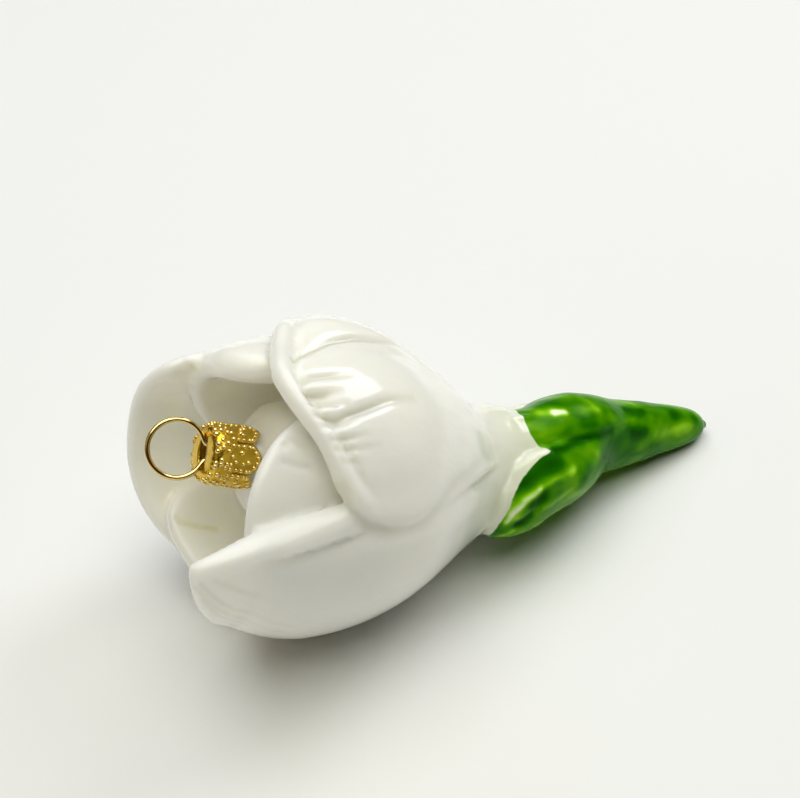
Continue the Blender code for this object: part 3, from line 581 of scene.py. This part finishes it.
def bead(shape, middle, outward, radius):
    """A raised dot of the stamping: a dome sunk in the sheet, paler towards its top: partly rubbed plating,
    partly a painted highlight.
    """
    rubbed_and_highlight = shape.verts.layers.float["rubbed_and_highlight"]
    side = outward.orthogonal().normalized()
    other = outward.cross(side)
    rings = []
    for level, width in BEAD_RINGS:
        ring = []
        for k in range(BEAD_SIDES):
            a = k / BEAD_SIDES * math.tau
            along = side * math.cos(a) + other * math.sin(a)
            ring.append(shape.verts.new((middle + (along * width + outward * level) * radius) * MM))
            ring[-1][rubbed_and_highlight] = max(level, 0.0)
        rings.append(ring)
    top = shape.verts.new((middle + outward * BEAD_TOP * radius) * MM)
    top[rubbed_and_highlight] = 1.0
    for low, high in zip(rings, rings[1:]):
        for k in range(BEAD_SIDES):
            shape.faces.new((low[k], low[(k + 1) % BEAD_SIDES], high[(k + 1) % BEAD_SIDES], high[k]))
    for k in range(BEAD_SIDES):
        shape.faces.new((rings[-1][k], rings[-1][(k + 1) % BEAD_SIDES], top))
    shape.faces.new(rings[0][::-1])


def cap_sheet(width, slit):
    """The cap without beads; width and slit are the degrees from tab to tab and of a slit."""
    angles, shares = [], []
    for tab in range(TABS):
        first = TAB_START + tab * width + slit / 2
        for k in range(TAB_STEPS + 1):
            angles.append(first + k / TAB_STEPS * (width - slit))
            shares.append(2 * k / TAB_STEPS - 1)
    rows = []
    slot_turn = math.radians(SLOT_TURN + 90)
    for step in DISC_ROWS:
        row = []
        for angle in angles:
            a = math.radians(angle)
            b = a - slot_turn
            lens = 1 / math.hypot(math.cos(b) / (SLOT_LENGTH / 2), math.sin(b) / (SLOT_WIDTH / 2))
            radius = lens + (CAP_RADIUS + CAP_SIDE[0][1] - lens) * step
            row.append(Vector((radius * math.cos(a), radius * math.sin(a), CAP_TOP)))
        rows.append(row)
    for depth in [d for d, _ in CAP_SIDE] + [SLIT_DEPTH]:
        rows.append([cap_point(angle, depth) for angle in angles])
    whole_rows = len(rows)
    for share in TAB_ROWS:
        rows.append([cap_point(angle, SLIT_DEPTH + share * (tab_end(side) - SLIT_DEPTH))
                     for angle, side in zip(angles, shares)])

    shape = bmesh.new()
    grid = [[shape.verts.new(p * MM) for p in row] for row in rows]
    count = len(angles)
    for r in range(len(rows) - 1):
        for c in range(count):
            if r >= whole_rows - 1 and c % (TAB_STEPS + 1) == TAB_STEPS:
                continue    # a slit
            n = (c + 1) % count
            shape.faces.new((grid[r][c], grid[r + 1][c], grid[r + 1][n], grid[r][n]))
    mesh = bpy.data.meshes.new("crown_cap")
    shape.to_mesh(mesh)
    shape.free()
    cap = bpy.data.objects.new("crown_cap", mesh)
    bpy.context.scene.collection.objects.link(cap)
    sheet = cap.modifiers.new("Sheet", "SOLIDIFY")
    sheet.thickness = CAP_SHEET * MM
    sheet.offset = -1.0
    return evaluated(cap)


def crown_cap(place):
    """The stamped cap: disc with a lens shaped slot, rounded shoulder, six pointed tabs and their beads."""
    width = 360.0 / TABS
    slit = math.degrees(TAB_SLIT / CAP_RADIUS)
    cap = cap_sheet(width, slit)
    shape = bmesh.new()
    shape.from_mesh(cap.data)
    shape.verts.layers.float.new("rubbed_and_highlight")
    dice = np.random.default_rng(BEAD_SEED)
    nearby = 0.2

    def dot(angle, depth, radius):
        down = (cap_point(angle, depth + nearby) - cap_point(angle, depth - nearby)).normalized()
        a = math.radians(angle)
        aside = Vector((-math.sin(a), math.cos(a), 0))
        bead(shape, cap_point(angle, depth), aside.cross(-down).normalized(), radius)

    for tab in range(TABS):
        middle = TAB_START + (tab + 0.5) * width
        half = (width - slit) / 2
        for side in (-1, 1):
            for k in range(EDGE_BEADS):
                edge = EDGE_FROM + k * EDGE_STEP
                if edge > tab_end(1) - EDGE_CLEAR:
                    break
                dot(middle + side * (half - EDGE_INSET), edge + dice.uniform(-EDGE_SHIFT, EDGE_SHIFT),
                    dice.uniform(*EDGE_SIZES))
            for k in range(END_BEADS):
                share = END_FROM - k * END_STEP
                dot(middle + side * share * half, tab_end(share) - END_INSET, dice.uniform(*END_SIZES))
        for _ in range(FACE_BEADS):
            dot(middle + dice.uniform(-FACE_WIDTH, FACE_WIDTH) * half, dice.uniform(*FACE_DEPTHS),
                dice.uniform(*FACE_SIZES))
    for k in range(SHOULDER_BEADS):
        turn = (k + dice.uniform(-SHOULDER_SHIFT, SHOULDER_SHIFT)) / SHOULDER_BEADS * 360
        for ahead, depth, shift, small, large in SHOULDER_ROWS:
            dot(turn + ahead, depth + dice.uniform(-shift, shift), dice.uniform(small, large))
    shape.transform(place)
    shape.to_mesh(cap.data)
    shape.free()
    cap.data.shade_smooth()
    return cap


def smooth_route(points, steps):
    """A smooth curve through the points, as a list with that many steps between each two."""
    route = []
    for i in range(len(points) - 1):
        before, here, after = points[max(i - 1, 0)], points[i], points[i + 1]
        beyond = points[min(i + 2, len(points) - 1)]
        for k in range(steps):
            t = k / steps
            bend = (2 * before - 5 * here + 4 * after - beyond) * t**2
            turn = (3 * here - before - 3 * after + beyond) * t**3
            route.append(0.5 * (2 * here + (after - before) * t + bend + turn))
    return route + [points[-1]]


def wire_hanger(place):
    """The spring wire: a ring above the cap whose two ends pass the slot and spread inside the neck."""
    lean, gap = math.radians(LOOP_LEAN), math.radians(LOOP_OPENING)
    level = CAP_TOP - CAP_SHEET / 2
    legs = [[Vector((side * across * LEG_SPREAD, 0, level + down * LEG_LENGTH)) for across, down in LEG]
            for side in (-1, 1)]
    ring = []
    for k in range(RING_POINTS):
        angle = gap / 2 + k / (RING_POINTS - 1) * (math.tau - gap)
        up = LOOP_RADIUS - LOOP_SINK - math.cos(angle) * LOOP_RADIUS
        ring.append(Vector((-math.sin(angle) * LOOP_RADIUS, -up * math.sin(lean),
                            level + up * math.cos(lean))))
    points = smooth_route(legs[0] + ring + legs[1][::-1], ROUTE_STEPS)
    turn = Matrix.Rotation(math.radians(SLOT_TURN - 90), 3, "Z")
    curve = bpy.data.curves.new("wire_hanger", "CURVE")
    curve.dimensions = "3D"
    curve.bevel_depth = WIRE / 2 * MM
    curve.bevel_resolution = WIRE_ROUND
    curve.use_fill_caps = True
    spline = curve.splines.new("POLY")
    spline.points.add(len(points) - 1)
    for k, point in enumerate(points):
        spline.points[k].co = (*(place @ (turn @ point * MM)), 1)
    holder = bpy.data.objects.new("wire_hanger", curve)
    bpy.context.scene.collection.objects.link(holder)
    graph = bpy.context.evaluated_depsgraph_get()
    mesh = bpy.data.meshes.new_from_object(holder.evaluated_get(graph))
    bpy.data.objects.remove(holder)
    wire = bpy.data.objects.new("wire_hanger", mesh)
    bpy.context.scene.collection.objects.link(wire)
    wire.data.shade_smooth()
    return wire


# Colours and materials

def linear(code, alpha=1.0):
    """An sRGB hex colour as linear values."""
    values = [int(code[i:i + 2], 16) / 255 for i in (1, 3, 5)]
    return [v / 12.92 if v <= 0.04045 else ((v + 0.055) / 1.055) ** 2.4 for v in values] + [alpha]


def node(tree, kind, settings=None, links=None):
    """Adds a node, sets its properties or input values by name, and links its inputs."""
    new = tree.nodes.new("ShaderNode" + kind)
    for name, value in (settings or {}).items():
        if isinstance(name, int) or name in new.inputs:
            new.inputs[name].default_value = value
        else:
            setattr(new, name, value)
    for name, source in (links or {}).items():
        tree.links.new(source, new.inputs[name])
    return new


def cells(size):
    """The scale of a pattern whose cells or clouds are this many millimetres wide."""
    return 1 / (size * MM)


def new_material(name):
    """A material with its node tree and its shader."""
    made = bpy.data.materials.new(name)
    made.use_nodes = True
    tree = made.node_tree
    return made, tree, tree.nodes["Principled BSDF"]


def set_shader(shader, **values):
    """Sets the shader's own sockets; an underscore stands for a space in a socket's name."""
    for name, value in values.items():
        shader.inputs[name.replace("_", " ")].default_value = value


def lacquered_glass():
    """Blown soda glass coated with pearl white lacquer, the stem and sepals with clear green lacquer.

    It gives the eye a milky white with a soft gloss, with painted shade in the creases and a painted
    lighter glow inside the mouth, and a deep green that is dark where the lacquer pooled and lime where it
    is thinner, with painted glints and painted shade, and a crisp edge between the two.
    """
    made, tree, shader = new_material("lacquer on blown glass")
    place = node(tree, "TexCoord").outputs["Object"]
    mouth = node(tree, "Attribute", {"attribute_name": "mouth"}).outputs["Fac"]
    paint = node(tree, "Attribute", {"attribute_name": "paint"}).outputs["Fac"]

    # The pearl coat is unevenly thick, in clouds about 17 mm wide
    clouds = node(tree, "TexNoise", {"Scale": cells(16.6667), "Detail": 3.0}, {"Vector": place})
    pearl = node(tree, "Mix", {"data_type": "RGBA", 6: linear("#F4F4F0"), 7: linear("#EFEEE4")},
                 {0: clouds.outputs["Fac"]})
    # Painted light: the inside of the mouth is painted a lighter cream, a glow and warm bounce light
    # standing in for light through the petals
    white = node(tree, "Mix", {"data_type": "RGBA", 7: linear("#FFFDF0")}, {0: mouth, 6: pearl.outputs[2]})

    # The white is painted greener and darker over 16 mm towards the green: partly the green seen through
    # the white lacquer, partly a painted reflection of the green
    green_seen_and_reflected = node(tree, "MapRange", {"From Min": -16.0, "From Max": 0.0, "To Max": 0.55}, {"Value": paint})
    white = node(tree, "Mix", {"data_type": "RGBA", 7: linear("#CFD8B4")},
                 {0: green_seen_and_reflected.outputs[0], 6: white.outputs[2]})
    # Painted shade: the creases are painted greyer
    crease = node(tree, "Attribute", {"attribute_name": "crease"}).outputs["Fac"]
    crease_shade = node(tree, "Math", {"operation": "MULTIPLY", 1: 0.55}, {0: crease})
    shaded = node(tree, "Mix", {"data_type": "RGBA", 7: linear("#B0AE9C")},
                  {0: crease_shade.outputs[0], 6: white.outputs[2]})
    # Dust specks 0.5 mm wide, in some of the 8 mm cells
    speck = node(tree, "TexVoronoi", {"Scale": cells(8.33333)}, {"Vector": place})
    small = node(tree, "Math", {"operation": "LESS_THAN", 1: 0.03}, {0: speck.outputs["Distance"]})
    rare = node(tree, "Math", {"operation": "GREATER_THAN", 1: 0.62}, {0: speck.outputs["Color"]})
    dust = node(tree, "Math", {"operation": "MULTIPLY"}, {0: small.outputs[0], 1: rare.outputs[0]})
    soiled = node(tree, "Mix", {"data_type": "RGBA", 7: linear("#8C8A72")},
                  {0: dust.outputs[0], 6: shaded.outputs[2]})

    # The green pooled in spots about 6 mm wide and twice as long along the stem
    stretched = node(tree, "Mapping", {"Scale": (0.5, 1.0, 1.0)}, {"Vector": place})
    mottle = node(tree, "TexNoise", {"Scale": cells(5.88235), "Detail": 2.0, "Distortion": 0.3},
                  {"Vector": stretched.outputs[0]})
    # The patches lighten or darken the green: partly thinner or pooled lacquer, partly painted glints and
    # painted shade
    lacquer_glint_shade = node(tree, "Attribute", {"attribute_name": "lacquer_glint_shade"}).outputs["Fac"]
    mottle_glint_shade = node(tree, "Math", {"operation": "MULTIPLY_ADD", 1: 0.42},
                   {0: lacquer_glint_shade, 2: mottle.outputs["Fac"]})
    # The top stop, near white, is a painted glint colour
    shades = node(tree, "ValToRGB", {}, {"Fac": mottle_glint_shade.outputs[0]})
    stops = shades.color_ramp
    stops.elements[0].position, stops.elements[0].color = 0.15, linear("#084400")
    stops.elements[1].position, stops.elements[1].color = 1.0, linear("#F4FFDC")
    for position, code in ((0.36, "#1E6800"), (0.5, "#3F8600"), (0.62, "#5A9C04"), (0.78, "#92D024")):
        stops.elements.new(position).color = linear(code)

    # The brush left the edge of the green uneven by up to 0.35 mm, in waves about 2.5 mm long
    wobble = node(tree, "TexNoise", {"Scale": cells(2.5), "Detail": 1.0}, {"Vector": place})
    shifted = node(tree, "Math", {"operation": "MULTIPLY_ADD", 1: 0.7, 2: -0.35},
                   {0: wobble.outputs["Fac"]})
    edge = node(tree, "Math", {"operation": "ADD"}, {0: paint, 1: shifted.outputs[0]})
    mask = node(tree, "MapRange", {"From Min": -0.12, "From Max": 0.12}, {"Value": edge.outputs[0]})
    colour = node(tree, "Mix", {"data_type": "RGBA"},
                  {0: mask.outputs[0], 6: soiled.outputs[2], 7: shades.outputs["Color"]})
    rough = node(tree, "MapRange", {"To Min": 0.32, "To Max": 0.2}, {"Value": mask.outputs[0]})
    coat = node(tree, "MapRange", {"To Min": 0.9, "To Max": 0.0}, {"Value": mask.outputs[0]})
    tint = node(tree, "Mix", {"data_type": "RGBA", 6: linear("#FFFFFF"), 7: linear("#C8F25A")},
                {0: mask.outputs[0]})
    tree.links.new(tint.outputs[2], shader.inputs["Specular Tint"])
    # Only the white is milky
    milky = node(tree, "MapRange", {"To Min": 1.0, "To Max": 0.0}, {"Value": mask.outputs[0]})
    tree.links.new(milky.outputs[0], shader.inputs["Subsurface Weight"])
    tree.links.new(coat.outputs[0], shader.inputs["Coat Weight"])
    tree.links.new(colour.outputs[2], shader.inputs["Base Color"])
    tree.links.new(rough.outputs[0], shader.inputs["Roughness"])
    set_shader(shader, Specular_IOR_Level=0.05, IOR=1.5, Coat_Roughness=0.12,
               Subsurface_Radius=(1.0, 0.96, 0.82), Subsurface_Scale=5 * MM)

    # Ripples of blown glass, about 3.7 mm wide and twice as long
    ripple = node(tree, "TexNoise", {"Scale": cells(3.7037), "Detail": 2.5},
                  {"Vector": stretched.outputs[0]})
    bump = node(tree, "Bump", {"Strength": 0.65, "Distance": 0.4 * MM}, {"Height": ripple.outputs["Fac"]})
    tree.links.new(bump.outputs["Normal"], shader.inputs["Normal"])
    return made


def stamped_gold():
    """Thin brass sheet, gold plated and stamped; the die left fine hammer marks between the beads.

    It gives the eye a warm, slightly rough gold that glints at every bead, whose tops are painted pale,
    partly rubbed plating and partly a painted highlight.
    """
    made, tree, shader = new_material("stamped brass sheet, gold plated")
    place = node(tree, "TexCoord").outputs["Object"]
    # The plating's colour drifts over about 1 mm
    tone = node(tree, "TexNoise", {"Scale": cells(1.11111), "Detail": 2.0}, {"Vector": place})
    plate = node(tree, "Mix", {"data_type": "RGBA", 6: linear("#CBA024"), 7: linear("#EFCC52")},
                 {0: tone.outputs["Fac"]})
    # Bead tops painted paler: partly rubbed plating, partly a painted highlight
    rubbed_highlight = node(tree, "Attribute", {"attribute_name": "rubbed_and_highlight"}).outputs["Fac"]
    colour = node(tree, "Mix", {"data_type": "RGBA", 7: linear("#FFE9A6")}, {0: rubbed_highlight, 6: plate.outputs[2]})
    rough = node(tree, "MapRange", {"To Min": 0.26, "To Max": 0.2}, {"Value": rubbed_highlight})
    tree.links.new(colour.outputs[2], shader.inputs["Base Color"])
    tree.links.new(rough.outputs[0], shader.inputs["Roughness"])
    set_shader(shader, Metallic=1.0)
    # Hammer marks about 0.7 mm wide
    hammered = node(tree, "TexVoronoi", {"Scale": cells(0.666667), "feature": "SMOOTH_F1",
                                         "Smoothness": 0.6}, {"Vector": place})
    bump = node(tree, "Bump", {"Strength": 0.3, "Distance": 0.2 * MM},
                {"Height": hammered.outputs["Distance"]})
    tree.links.new(bump.outputs["Normal"], shader.inputs["Normal"])
    return made


def drawn_gold():
    """Hard drawn steel wire with bright gold plating, nearly a mirror.

    It gives the eye a thin bright ring with sharp reflections along it.
    """
    made, tree, shader = new_material("drawn wire, gold plated")
    place = node(tree, "TexCoord").outputs["Object"]
    # Handling dulled it in patches about 2 mm wide
    tone = node(tree, "TexNoise", {"Scale": cells(2.0), "Detail": 1.0}, {"Vector": place})
    rough = node(tree, "MapRange", {"To Min": 0.08, "To Max": 0.16}, {"Value": tone.outputs["Fac"]})
    tree.links.new(rough.outputs[0], shader.inputs["Roughness"])
    set_shader(shader, Base_Color=linear("#E2C688"), Metallic=1.0)
    return made


# Floor, light and camera

FLOOR_SIZE = 6.0       # metres
WORLD_COLOUR, WORLD_STRENGTH = "#FFE4A8", 0.05
# Round soft boxes: name, turn, rise, distance and width in metres, power in watts, colour
SOFT_BOXES = [
    ("ceiling soft box", 0.0, 90.0, 1.2, 1.6, 15.6, "#FFFFF4"),
    ("stem soft box", 109.0, 42.0, 1.2, 0.6, 4.2, "#F8FAFF"),
    ("mouth soft box", 262.0, 45.0, 1.2, 1.2, 1.4, "#FFF4C0"),
    ("back soft box", 185.0, 50.0, 0.9, 0.6, 1.1, "#D0DAFF"),
]
LIGHT_AIM = Vector((0, 0, 0.02))    # metres
# The camera, in degrees and millimetres
CAMERA_TURN, CAMERA_RISE = -27.0, 38.0
CAMERA_AIM = (-1.95, 20.42, 19.9)
CAMERA_DISTANCE = 292.2
CAMERA_ANGLE = 30.0


def floor():
    """The pale surface that the ornament lies on."""
    half = FLOOR_SIZE / 2
    plane = new_mesh("floor", [(-half, -half, 0), (half, -half, 0), (half, half, 0), (-half, half, 0)],
                     [(0, 1, 2, 3)])
    made, tree, shader = new_material("matt white paper")
    set_shader(shader, Base_Color=linear("#EAEBED"), Roughness=0.9)
    plane.data.materials.append(made)


def soft_box(name, turn, rise, distance, size, power, code):
    """An area light aimed at the ornament; turn and rise are degrees seen from its middle."""
    light = bpy.data.lights.new(name, "AREA")
    light.shape = "DISK"
    light.size = size
    light.energy = power
    light.color = linear(code)[:3]
    lamp = bpy.data.objects.new(name, light)
    bpy.context.scene.collection.objects.link(lamp)
    a, b = math.radians(turn), math.radians(rise)
    away = Vector((math.sin(a) * math.cos(b), -math.cos(a) * math.cos(b), math.sin(b)))
    lamp.location = away * distance + LIGHT_AIM
    lamp.rotation_euler = away.to_track_quat("Z", "Y").to_euler()


def studio():
    """A dim warm world, four soft boxes and the camera."""
    world = bpy.data.worlds.new("studio")
    bpy.context.scene.world = world
    world.use_nodes = True
    back = world.node_tree.nodes["Background"]
    back.inputs["Color"].default_value = linear(WORLD_COLOUR)
    back.inputs["Strength"].default_value = WORLD_STRENGTH
    for box in SOFT_BOXES:
        soft_box(*box)
    scene = bpy.context.scene
    scene.view_settings.view_transform = "Standard"
    scene.view_settings.look = "None"

    camera = bpy.data.cameras.new("camera")
    camera.angle = math.radians(CAMERA_ANGLE)
    camera.clip_start = 0.01
    holder = bpy.data.objects.new("camera", camera)
    scene.collection.objects.link(holder)
    turn, rise = math.radians(CAMERA_TURN), math.radians(CAMERA_RISE)
    back_way = Vector((math.sin(turn) * math.cos(rise), -math.cos(turn) * math.cos(rise), math.sin(rise)))
    holder.location = (Vector(CAMERA_AIM) + back_way * CAMERA_DISTANCE) * MM
    holder.rotation_euler = back_way.to_track_quat("Z", "Y").to_euler()
    scene.camera = holder


flower = glass_flower()
flower.data.materials.append(lacquered_glass())
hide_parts("glass_flower")
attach(flower, "root")

neck = lying() @ neck_tilt()
cap = crown_cap(neck)
cap.data.materials.append(stamped_gold())
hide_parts("crown_cap")
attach(cap, "root")

wire = wire_hanger(neck)
wire.data.materials.clear()
wire.data.materials.append(drawn_gold())
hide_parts("wire_hanger")
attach(wire, "root")

floor()
studio()
